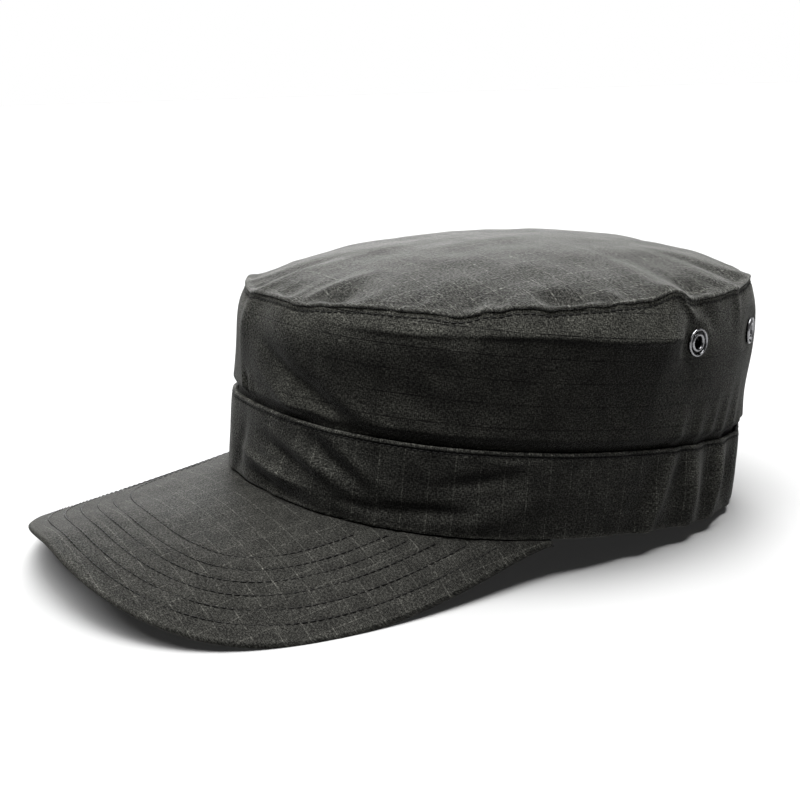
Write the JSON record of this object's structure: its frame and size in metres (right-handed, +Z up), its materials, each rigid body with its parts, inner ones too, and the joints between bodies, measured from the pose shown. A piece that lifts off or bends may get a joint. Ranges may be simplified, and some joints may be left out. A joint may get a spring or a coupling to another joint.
{
  "type": "military cap",
  "caption": "Soft black ripstop patrol cap with a domed flat top, an upright side, a folded band gathered at the back, a stiff drooping peak and metal eyelets.",
  "frame": {"origin": "on the surface that the cap rests on, under the middle of its bounding box", "axes": "+Z up, -Y the way the peak points, +X the wearer's left"},
  "size_m": [0.181, 0.2862, 0.1062],
  "materials": {
    "crown_cloth": "matt black ripstop cotton with a soft grey bloom",
    "band_cloth": "matt black ripstop cotton, folded double",
    "peak_cloth": "matt black ripstop cotton over a stiff board, stitched in rows",
    "eyelet_metal": "glossy black lacquered brass"
  },
  "bodies": {
    "root": {"crown_top": "crown_cloth", "crown_side": "crown_cloth", "band": "band_cloth", "peak": "peak_cloth", "eyelet_left_front": "eyelet_metal", "eyelet_left_rear": "eyelet_metal", "eyelet_right_front": "eyelet_metal", "eyelet_right_rear": "eyelet_metal"}
  },
  "joints": []
}
